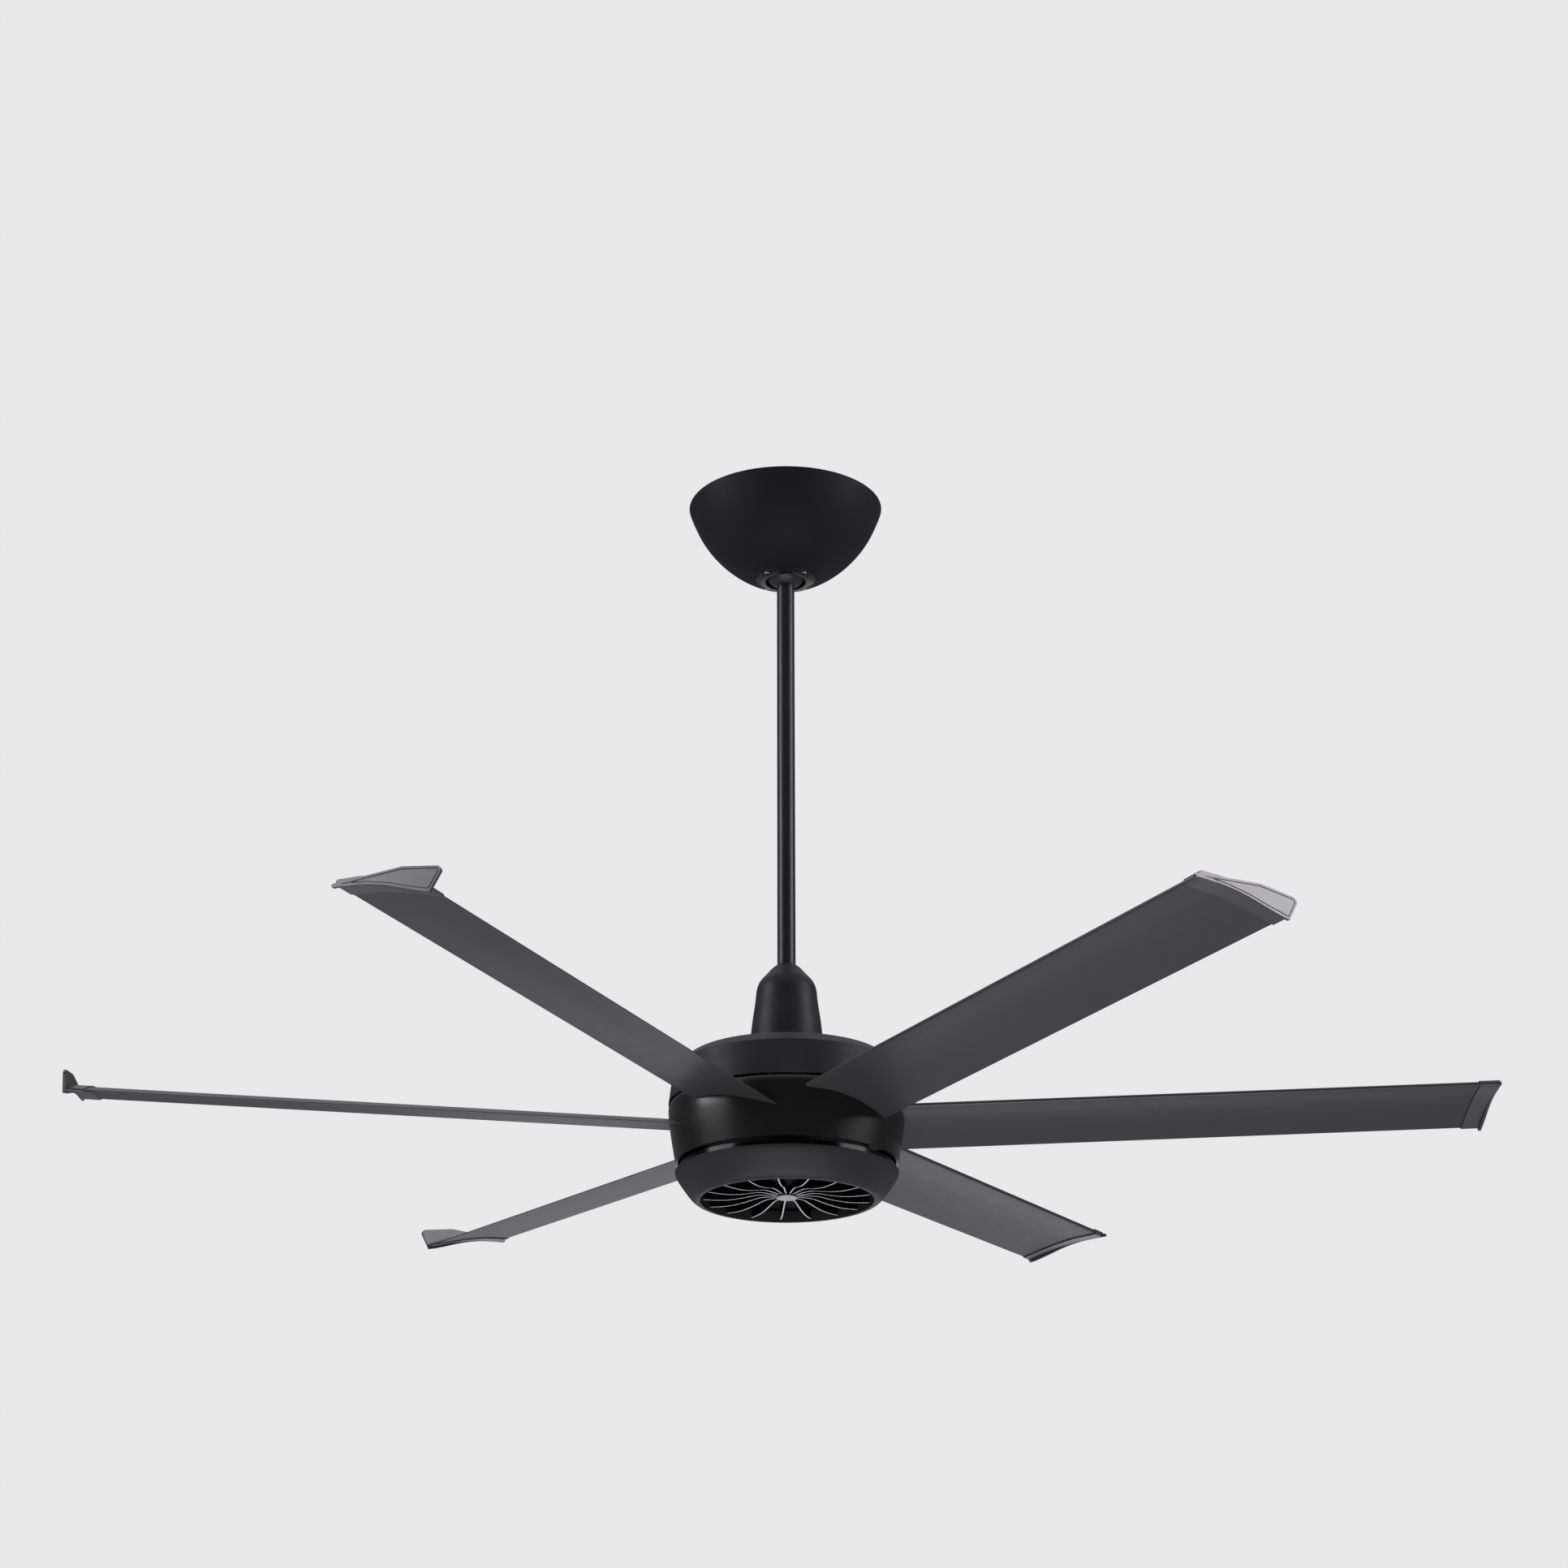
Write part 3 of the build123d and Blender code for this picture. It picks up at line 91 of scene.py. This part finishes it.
# Paints, plastics and cast metals, by the arguments of mottled
MOTTLED = {
    # canopy_paint to bowl_paint stand for one satin black paint; their colours differ part by part as
    # painted light and shade, lighter on the cover and bowl, darker on the trim, darkest on the hub
    "canopy_paint": dict(colour=(0.0100, 0.0094, 0.0115), rough=0.5, shine=0.05),
    "trim_paint": dict(colour=(0.006, 0.0057, 0.0068), rough=0.24, shine=0.3, depth=0.000004),
    "tube_paint": dict(colour=(0.010, 0.0095, 0.0115), rough=0.32, shine=0.17),
    "shroud_paint": dict(colour=(0.011, 0.0105, 0.0125), rough=0.46, shine=0.12),
    "cover_paint": dict(colour=(0.0160, 0.0152, 0.0172), rough=0.44, shine=0.08, depth=0.00001),
    "hub_paint": dict(
        colour=(0.0015, 0.0014, 0.0017), rough=0.25, shine=0.46, depth=0.000002, spread=0.01),
    "bowl_paint": dict(colour=(0.0150, 0.0144, 0.0158), rough=0.42, shine=0.08, depth=0.000006),
    "blade_paint": dict(
        colour=(0.0125, 0.0119, 0.0129), rough=0.4, shine=0.36, vary=0.04, spread=0.02),
    "winglet_plastic": dict(
        colour=(0.02, 0.0194, 0.0208), rough=0.31, shine=0.55, grain=400.0, depth=0.000004, spread=0.02),
    "gloss_black": dict(
        colour=(0.002, 0.002, 0.0022), rough=0.16, shine=0.1, depth=0.000003, spread=0.02),
    "grille_grey": dict(colour=(0.3, 0.3, 0.31), rough=0.4, shine=0.4),
    "button_grey": dict(colour=(0.15, 0.15, 0.155), rough=0.34, shine=0.4),
    "backing_black": dict(colour=(0.0025, 0.0025, 0.003), rough=0.6, shine=0.1),
    "screw_black": dict(colour=(0.3, 0.29, 0.31), rough=0.2, metal=0.9, depth=0.000004),
    "nylon": dict(colour=(0.011, 0.0105, 0.0125), rough=0.4, shine=0.3),
    "cast_metal": dict(colour=(0.5, 0.51, 0.52), rough=0.5, metal=1.0, grain=600.0, depth=0.0002),
    "magnet": dict(colour=(0.3, 0.3, 0.32), rough=0.3, metal=1.0),
    "bearing": dict(colour=(0.7, 0.7, 0.72), rough=0.14, metal=1.0, depth=0.00001, spread=0.03),
    "board": dict(colour=(0.02, 0.16, 0.07), rough=0.4, vary=0.3),
}

# Bare metals with fine lines, by the arguments of brushed
BRUSHED = {
    "zinc": dict(colour=(0.62, 0.62, 0.62), rough=0.34, stretch=(1.0, 1.0, 6.0)),
    "lamination": dict(colour=(0.4, 0.4, 0.42), rough=0.4, stretch=(0.2, 0.2, 12.0)),
    "copper": dict(colour=(0.72, 0.34, 0.16), rough=0.32, stretch=(1.0, 1.0, 3.0)),
}

# Pieces that each material covers, apart from the blades and their winglets
FINISH = {
    "canopy_paint": ("canopy",),
    "trim_paint": ("canopy_trim_ring",),
    "tube_paint": ("downrod",),
    "shroud_paint": ("shroud",),
    "cover_paint": ("upper_cover",),
    "hub_paint": ("rotor_shell",),
    "bowl_paint": ("lower_bowl",),
    "gloss_black": ("gloss_ring",),
    "grille_grey": ("grille",),
    "button_grey": ("grille_button",),
    "backing_black": ("grille_backing",),
    "zinc": (
        "ceiling_bracket", "seat_screws", "ball_cross_pin", "ball_set_screw", "yoke_bolt", "yoke_nut",
        "yoke_set_screws", "cover_screws", "shaft_nut", "bowl_screws", "board_screws", "backing_screws",
        "grille_nut", "end_plate_screws", "shell_screws", "blade_screws", "swivel_pins", "motor_shaft",
    ),
    "screw_black": ("canopy_screws",),
    "nylon": ("seat_liner", "hanger_ball", "bearing_cages"),
    "cast_metal": (
        "ball_seat", "motor_yoke", "rotor_frame", "rotor_end_plate", "support_plate", "blade_clamps",
    ),
    "lamination": ("stator_core", "back_iron_ring"),
    "copper": ("stator_windings",),
    "magnet": ("rotor_magnets",),
    "bearing": ("inner_races", "outer_races", "bearing_balls"),
    "board": ("driver_board",),
}
BLADE_COUNT = 6

# Widths of rounded edges, in metres, and the angle from which an edge counts as sharp
EDGE_ROUND = {
    "canopy": 0.0006,
    "canopy_trim_ring": 0.0005,
    "canopy_screws": 0.0003,
    "downrod": 0.0005,
    "shroud": 0.0006,
    "upper_cover": 0.0006,
    "rotor_shell": 0.0005,
    "gloss_ring": 0.0005,
    "lower_bowl": 0.0011,
    "grille": 0.0003,
    "grille_button": 0.0003,
}
BLADE_ROUND = 0.0002
WINGLET_ROUND = 0.0011
ROUND_SEGMENTS = 3
SHARP_ANGLE = math.radians(38)


def make_camera():
    data = bpy.data.cameras.new("camera")
    data.sensor_width = SENSOR_WIDTH
    data.lens = CAMERA_LENS
    data.clip_start = CLIP_START
    data.clip_end = CLIP_END
    camera = bpy.data.objects.new("camera", data)
    bpy.context.scene.collection.objects.link(camera)
    pitch, yaw, roll = (math.radians(v) for v in (CAMERA_PITCH, CAMERA_YAW, CAMERA_ROLL))
    forward = Vector((math.sin(yaw) * math.cos(pitch), math.cos(yaw) * math.cos(pitch), math.sin(pitch)))
    level = Vector((math.cos(yaw), -math.sin(yaw), 0.0))
    upright = level.cross(forward)
    right = level * math.cos(roll) + upright * math.sin(roll)
    up = upright * math.cos(roll) - level * math.sin(roll)
    turn = Matrix((right, up, -forward)).transposed()
    camera.matrix_world = Matrix.Translation(CAMERA_PLACE) @ turn.to_4x4()
    bpy.context.scene.camera = camera


# Materials
class Shader:
    """A node material with short calls for the nodes that it needs."""

    def __init__(self, name):
        self.material = bpy.data.materials.new(name)
        self.material.use_nodes = True
        self.tree = self.material.node_tree
        self.surface = self.tree.nodes["Principled BSDF"]
        coordinates = self.tree.nodes.new("ShaderNodeTexCoord")
        self.place = coordinates.outputs["Object"]
        self.normal = coordinates.outputs["Normal"]

    def link(self, source, target):
        self.tree.links.new(source, target)

    def set(self, name, value):
        """Give one of the surface's inputs a plain value or the output of a node."""
        if isinstance(value, float):
            self.surface.inputs[name].default_value = value
        else:
            self.link(value, self.surface.inputs[name])

    def colour(self):
        """Output that the surface takes its colour from."""
        return self.surface.inputs["Base Color"].links[0].from_socket

    def noise(self, scale, detail, stretch=(1.0, 1.0, 1.0)):
        mapping = self.tree.nodes.new("ShaderNodeMapping")
        mapping.inputs["Scale"].default_value = stretch
        self.link(self.place, mapping.inputs["Vector"])
        node = self.tree.nodes.new("ShaderNodeTexNoise")
        node.inputs["Scale"].default_value = scale
        node.inputs["Detail"].default_value = detail
        self.link(mapping.outputs["Vector"], node.inputs["Vector"])
        return node.outputs["Fac"]

    def ramp(self, source, low, high):
        """Colour from low to high, by the source."""
        node = self.tree.nodes.new("ShaderNodeValToRGB")
        node.color_ramp.elements[0].position = RAMP_START
        node.color_ramp.elements[1].position = RAMP_END
        node.color_ramp.elements[0].color = (*low, 1.0)
        node.color_ramp.elements[1].color = (*high, 1.0)
        self.link(source, node.inputs["Fac"])
        return node.outputs["Color"]

    def span(self, source, low, high):
        """Value from low to high, by the source."""
        node = self.tree.nodes.new("ShaderNodeMapRange")
        node.inputs["From Min"].default_value = SPAN_START
        node.inputs["From Max"].default_value = SPAN_END
        node.inputs["To Min"].default_value = low
        node.inputs["To Max"].default_value = high
        self.link(source, node.inputs["Value"])
        return node.outputs["Result"]

    def bump(self, source, strength, distance):
        node = self.tree.nodes.new("ShaderNodeBump")
        node.inputs["Strength"].default_value = strength
        node.inputs["Distance"].default_value = distance
        self.link(source, node.inputs["Height"])
        self.set("Normal", node.outputs["Normal"])

    def height(self, vector):
        """Z part of a vector."""
        node = self.tree.nodes.new("ShaderNodeSeparateXYZ")
        self.link(vector, node.inputs["Vector"])
        return node.outputs["Z"]

    def combine(self, first, operation, second):
        """Result of a sum, product or comparison with a plain value or another output."""
        node = self.tree.nodes.new("ShaderNodeMath")
        node.operation = operation
        self.link(first, node.inputs[0])
        if isinstance(second, float):
            node.inputs[1].default_value = second
        else:
            self.link(second, node.inputs[1])
        return node.outputs["Value"]

    def mix_node(self, blend_type):
        node = self.tree.nodes.new("ShaderNodeMix")
        node.data_type = "RGBA"
        node.blend_type = blend_type
        return node

    def shade_near_faces(self, reach, inside):
        """Painted shade factor: from the floor value beside other faces or beside edges, up to 1 on open
        faces.
        """
        node = self.tree.nodes.new("ShaderNodeAmbientOcclusion")
        node.inputs["Distance"].default_value = reach
        node.inside = inside
        return self.span(node.outputs["AO"], PAINTED_SHADE_FLOOR, 1.0)

    def paint_groove_and_rim_shade(self):
        """Painted shade: less colour and less shine inside narrow grooves and along outer edges."""
        grooves = self.shade_near_faces(GROOVE_SHADE_REACH, inside=False)
        rims = self.shade_near_faces(RIM_SHADE_REACH, inside=True)
        openness = self.combine(grooves, "MULTIPLY", rims)
        mix = self.mix_node("MULTIPLY")
        mix.inputs["Factor"].default_value = 1.0
        self.link(self.colour(), mix.inputs["A"])
        self.link(openness, mix.inputs["B"])
        self.set("Base Color", mix.outputs["Result"])
        shine = self.surface.inputs["Specular IOR Level"].default_value
        self.set("Specular IOR Level", self.combine(openness, "MULTIPLY", shine))

    def paint_shadow_above_lower_edges(self):
        """Own colour and shine on the ribs' lower edges, painted shadow without shine on their sides and
        on all above them.
        """
        faces_down = self.combine(self.height(self.normal), "LESS_THAN", GRILLE_DOWNWARD)
        is_low = self.combine(self.height(self.place), "LESS_THAN", GRILLE_LIP_HEIGHT)
        lower_edge = self.combine(faces_down, "MULTIPLY", is_low)
        mix = self.mix_node("MIX")
        self.link(lower_edge, mix.inputs["Factor"])
        mix.inputs["A"].default_value = (*GRILLE_PAINTED_SHADOW, 1.0)
        self.link(self.colour(), mix.inputs["B"])
        self.set("Base Color", mix.outputs["Result"])
        shine = self.surface.inputs["Specular IOR Level"].default_value
        self.set("Specular IOR Level", self.combine(lower_edge, "MULTIPLY", shine))


def mottled(
    name, colour, rough, shine=0.5, metal=0.0, vary=0.1, grain=1100.0, depth=0.00003, spread=0.05
):
    """Paint, plastic or cast metal with a fine grain, faint blotches and slightly uneven gloss."""
    shader = Shader(name)
    low = tuple(c * (1 - vary) for c in colour)
    high = tuple(c * (1 + vary) for c in colour)
    shader.set("Base Color", shader.ramp(shader.noise(BLOTCH_SCALE, BLOTCH_DETAIL), low, high))
    gloss = shader.noise(GLOSS_SCALE, GLOSS_DETAIL)
    shader.set("Roughness", shader.span(gloss, rough - spread, rough + spread))
    shader.bump(shader.noise(grain, GRAIN_DETAIL), GRAIN_STRENGTH, depth)
    shader.set("Metallic", metal)
    shader.set("Specular IOR Level", shine)
    return shader


def brushed(name, colour, rough, stretch):
    """Bare metal with fine lines along one direction."""
    shader = Shader(name)
    lines = shader.noise(LINE_SCALE, LINE_DETAIL, stretch)
    low = tuple(c * LINE_DARK for c in colour)
    shader.set("Base Color", shader.ramp(lines, low, colour))
    shader.set("Roughness", shader.span(lines, rough - LINE_GLOSS_BELOW, rough + LINE_GLOSS_ABOVE))
    shader.bump(lines, LINE_STRENGTH, LINE_DEPTH)
    shader.set("Metallic", 1.0)
    return shader


def make_materials():
    made = {name: mottled(name, **values) for name, values in MOTTLED.items()}
    made.update({name: brushed(name, **values) for name, values in BRUSHED.items()})
    # Painted shade in the winglets' grooves and along their rims
    made["winglet_plastic"].paint_groove_and_rim_shade()
    # Painted shadow on the grille's rib sides and on all above their lower edges
    made["grille_grey"].paint_shadow_above_lower_edges()
    return made


def dress(name, shader):
    slots = nodes[name].data.materials
    slots.clear()
    slots.append(shader.material)


def dress_all(shaders):
    for finish, names in FINISH.items():
        for name in names:
            dress(name, shaders[finish])
    for number in range(1, BLADE_COUNT + 1):
        dress("airfoil_%d" % number, shaders["blade_paint"])
        dress("winglet_%d" % number, shaders["winglet_plastic"])


# Edges
def round_edges(name, width):
    bevel = nodes[name].modifiers.new("rounded_edges", "BEVEL")
    bevel.width = width
    bevel.segments = ROUND_SEGMENTS
    bevel.limit_method = "ANGLE"
    bevel.angle_limit = SHARP_ANGLE
    bevel.harden_normals = True


def round_all():
    for name, width in EDGE_ROUND.items():
        round_edges(name, width)
    for number in range(1, BLADE_COUNT + 1):
        round_edges("airfoil_%d" % number, BLADE_ROUND)
        round_edges("winglet_%d" % number, WINGLET_ROUND)


# Surroundings
def make_world():
    """Plain backdrop for the camera, and for all else a dim room with a bright ceiling."""
    world = bpy.data.worlds.new("studio")
    bpy.context.scene.world = world
    world.use_nodes = True
    tree = world.node_tree
    tree.nodes.clear()
    rays = tree.nodes.new("ShaderNodeLightPath")
    seen = tree.nodes.new("ShaderNodeBackground")
    seen.inputs["Color"].default_value = BACKDROP
    direction = tree.nodes.new("ShaderNodeTexCoord")
    parts = tree.nodes.new("ShaderNodeSeparateXYZ")
    tree.links.new(direction.outputs["Generated"], parts.inputs["Vector"])
    levels = []
    for axis, start, end, level in WORLD_GLOW:
        fade = tree.nodes.new("ShaderNodeMapRange")
        fade.interpolation_type = "SMOOTHSTEP"
        fade.inputs["From Min"].default_value = start
        fade.inputs["From Max"].default_value = end
        fade.inputs["To Min"].default_value = 0.0
        fade.inputs["To Max"].default_value = level
        tree.links.new(parts.outputs[axis], fade.inputs["Value"])
        levels.append(fade.outputs["Result"])
    total = levels[0]
    for level in levels[1:]:
        add = tree.nodes.new("ShaderNodeMath")
        tree.links.new(total, add.inputs[0])
        tree.links.new(level, add.inputs[1])
        total = add.outputs["Value"]
    base = tree.nodes.new("ShaderNodeMath")
    base.inputs[1].default_value = WORLD_BASE
    tree.links.new(total, base.inputs[0])
    light = tree.nodes.new("ShaderNodeBackground")
    light.inputs["Color"].default_value = (*LIGHT_TINT, 1.0)
    tree.links.new(base.outputs["Value"], light.inputs["Strength"])
    mix = tree.nodes.new("ShaderNodeMixShader")
    out = tree.nodes.new("ShaderNodeOutputWorld")
    tree.links.new(rays.outputs["Is Camera Ray"], mix.inputs["Fac"])
    tree.links.new(light.outputs["Background"], mix.inputs[1])
    tree.links.new(seen.outputs["Background"], mix.inputs[2])
    tree.links.new(mix.outputs["Shader"], out.inputs["Surface"])


def make_floor():
    """Matte floor far below the fan, which the camera sees as plain backdrop."""
    mesh = bpy.data.meshes.new("floor")
    signs = ((-1, -1), (1, -1), (1, 1), (-1, 1))
    corners = [(x * FLOOR_REACH, y * FLOOR_REACH, FLOOR_HEIGHT) for x, y in signs]
    mesh.from_pydata(corners, [], [(0, 1, 2, 3)])
    floor = bpy.data.objects.new("floor", mesh)
    bpy.context.scene.collection.objects.link(floor)
    material = bpy.data.materials.new("floor")
    material.use_nodes = True
    tree = material.node_tree
    tree.nodes.clear()
    rays = tree.nodes.new("ShaderNodeLightPath")
    seen = tree.nodes.new("ShaderNodeEmission")
    seen.inputs["Color"].default_value = BACKDROP
    matte = tree.nodes.new("ShaderNodeBsdfDiffuse")
    matte.inputs["Color"].default_value = FLOOR_COLOUR
    mix = tree.nodes.new("ShaderNodeMixShader")
    out = tree.nodes.new("ShaderNodeOutputMaterial")
    tree.links.new(rays.outputs["Is Camera Ray"], mix.inputs["Fac"])
    tree.links.new(matte.outputs["BSDF"], mix.inputs[1])
    tree.links.new(seen.outputs["Emission"], mix.inputs[2])
    tree.links.new(mix.outputs["Shader"], out.inputs["Surface"])
    mesh.materials.append(material)


def area_light(name, place, aim, size, power):
    data = bpy.data.lights.new(name, "AREA")
    data.shape = "RECTANGLE"
    data.size, data.size_y = size
    data.energy = power
    data.color = LIGHT_TINT
    lamp = bpy.data.objects.new(name, data)
    lamp.location = place
    lamp.rotation_mode = "QUATERNION"
    lamp.rotation_quaternion = (Vector(aim) - Vector(place)).to_track_quat("-Z", "Y")
    lamp.visible_camera = False
    bpy.context.scene.collection.objects.link(lamp)


def make_lights():
    for name, side in (("left_box", -1), ("right_box", 1)):
        place = (side * SIDE_BOX_X, SIDE_BOX_Y, SIDE_BOX_Z)
        area_light(name, place, (0.0, SIDE_BOX_Y, SIDE_BOX_Z), SIDE_BOX_SIZE, SIDE_BOX_POWER)
    area_light("low_box", LOW_BOX_PLACE, HUB_PLACE, LOW_BOX_SIZE, LOW_BOX_POWER)
    area_light("back_box", BACK_BOX_PLACE, HUB_PLACE, BACK_BOX_SIZE, BACK_BOX_POWER)


make_camera()
dress_all(make_materials())
round_all()
make_world()
make_floor()
make_lights()

bpy.context.scene.view_settings.view_transform = "Standard"
